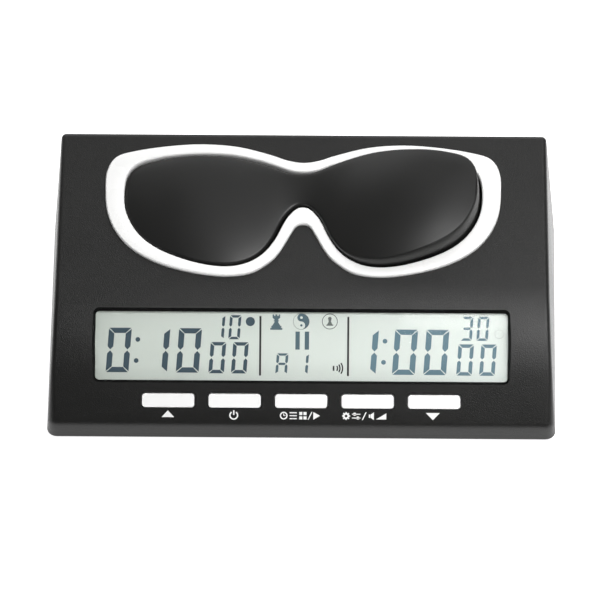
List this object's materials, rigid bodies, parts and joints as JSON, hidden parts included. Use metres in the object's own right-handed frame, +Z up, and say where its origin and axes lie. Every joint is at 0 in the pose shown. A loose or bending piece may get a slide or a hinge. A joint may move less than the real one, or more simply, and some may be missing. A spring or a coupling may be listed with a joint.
{
  "type": "digital chess clock",
  "caption": "Wedge-shaped two-player game timer with a tilting spectacles-shaped rocker, a wide liquid-crystal display and a row of push buttons.",
  "frame": {"origin": "centre of the footprint's bounding box, on the surface the clock stands on", "axes": "+X to the player's right, -Y towards the display's reader, +Z up from the rest surface"},
  "size_m": [0.156, 0.088, 0.051],
  "materials": {
    "case_plastic": "satin, fine grain",
    "base_plastic": "satin, fine grain",
    "feet": "matt",
    "screw_steel": "zinc plated",
    "frame_plastic": "smooth",
    "rocker_plastic": "smooth",
    "pin_steel": "turned",
    "circuit_board": "solder mask",
    "switch_metal": "pressed",
    "switch_plastic": "moulded",
    "window_pane": "clear, glossy",
    "lcd_glass": "clear",
    "reflector_film": "pale grey-green film",
    "tray_plastic": "moulded",
    "zebra_rubber": "soft",
    "black_resin": "cast drop",
    "capacitor_sleeve": "shrunk sleeve",
    "button_plastic": "smooth",
    "buzzer_brass": "thin disc housing",
    "cell_sleeve": "plain sleeve",
    "contact_steel": "nickel plated",
    "red_sleeve": "wire sleeve",
    "black_sleeve": "wire sleeve",
    "grey_sleeve": "wire sleeve"
  },
  "bodies": {
    "case": {"upper_case": "case_plastic", "lower_case": "base_plastic", "rubber_feet": "feet", "case_screws": "screw_steel", "rocker_frame": "frame_plastic", "rocker_pin": "pin_steel", "switch_board": "circuit_board", "switch_board_screws": "screw_steel", "slide_switch_body": "switch_metal", "display_window": "window_pane", "lcd_front_glass": "lcd_glass", "lcd_rear_glass": "lcd_glass", "lcd_reflector": "reflector_film", "lcd_holder": "tray_plastic", "zebra_strip": "zebra_rubber", "main_board": "circuit_board", "main_board_screws": "screw_steel", "processor_blob": "black_resin", "crystal_can": "switch_metal", "capacitors": "capacitor_sleeve", "key_board": "circuit_board", "key_board_screws": "screw_steel", "key_switches": "switch_plastic", "buzzer": "buzzer_brass", "front_cell": "cell_sleeve", "rear_cell": "cell_sleeve", "contact_plates": "contact_steel", "contact_springs": "contact_steel", "red_wire": "red_sleeve", "black_wire": "black_sleeve", "buzzer_wires": "grey_sleeve", "switch_wires": "grey_sleeve", "key_ribbon": "grey_sleeve"},
    "rocker": {"rocker": "rocker_plastic"},
    "switch_knob": {"slide_switch_knob": "switch_plastic"},
    "battery_door": {"battery_door": "base_plastic"},
    "up_button": {"up_button": "button_plastic", "up_plunger": "switch_plastic"},
    "power_button": {"power_button": "button_plastic", "power_plunger": "switch_plastic"},
    "mode_button": {"mode_button": "button_plastic", "mode_plunger": "switch_plastic"},
    "set_button": {"set_button": "button_plastic", "set_plunger": "switch_plastic"},
    "down_button": {"down_button": "button_plastic", "down_plunger": "switch_plastic"}
  },
  "joints": [
    {"name": "rocker_swing", "type": "hinge", "parent": "case", "child": "rocker", "pos_m": [0, 0.02198, 0.03698], "axis": [0, 0.9659, 0.2588], "range_deg": [0, 10]},
    {"name": "knob_slide", "type": "slide", "parent": "case", "child": "switch_knob", "axis": [1, 0, 0], "range_m": [-0.0018, 0]},
    {"name": "door_hinge", "type": "hinge", "parent": "case", "child": "battery_door", "pos_m": [-0.037, 0.0386, 0.0025], "axis": [1, 0, 0], "range_deg": [0, 90]},
    {"name": "up_press", "type": "slide", "parent": "case", "child": "up_button", "axis": [0, 0.7071, -0.7071], "range_m": [0, 0.0006], "stiffness_N_per_m": 900, "springref_m": -0.0003},
    {"name": "power_press", "type": "slide", "parent": "case", "child": "power_button", "axis": [0, 0.7071, -0.7071], "range_m": [0, 0.0006], "stiffness_N_per_m": 900, "springref_m": -0.0003},
    {"name": "mode_press", "type": "slide", "parent": "case", "child": "mode_button", "axis": [0, 0.7071, -0.7071], "range_m": [0, 0.0006], "stiffness_N_per_m": 900, "springref_m": -0.0003},
    {"name": "set_press", "type": "slide", "parent": "case", "child": "set_button", "axis": [0, 0.7071, -0.7071], "range_m": [0, 0.0006], "stiffness_N_per_m": 900, "springref_m": -0.0003},
    {"name": "down_press", "type": "slide", "parent": "case", "child": "down_button", "axis": [0, 0.7071, -0.7071], "range_m": [0, 0.0006], "stiffness_N_per_m": 900, "springref_m": -0.0003}
  ],
  "couplings": [
    {"joint": "knob_slide", "follows": "rocker_swing", "m_per_rad": -0.009787}
  ]
}
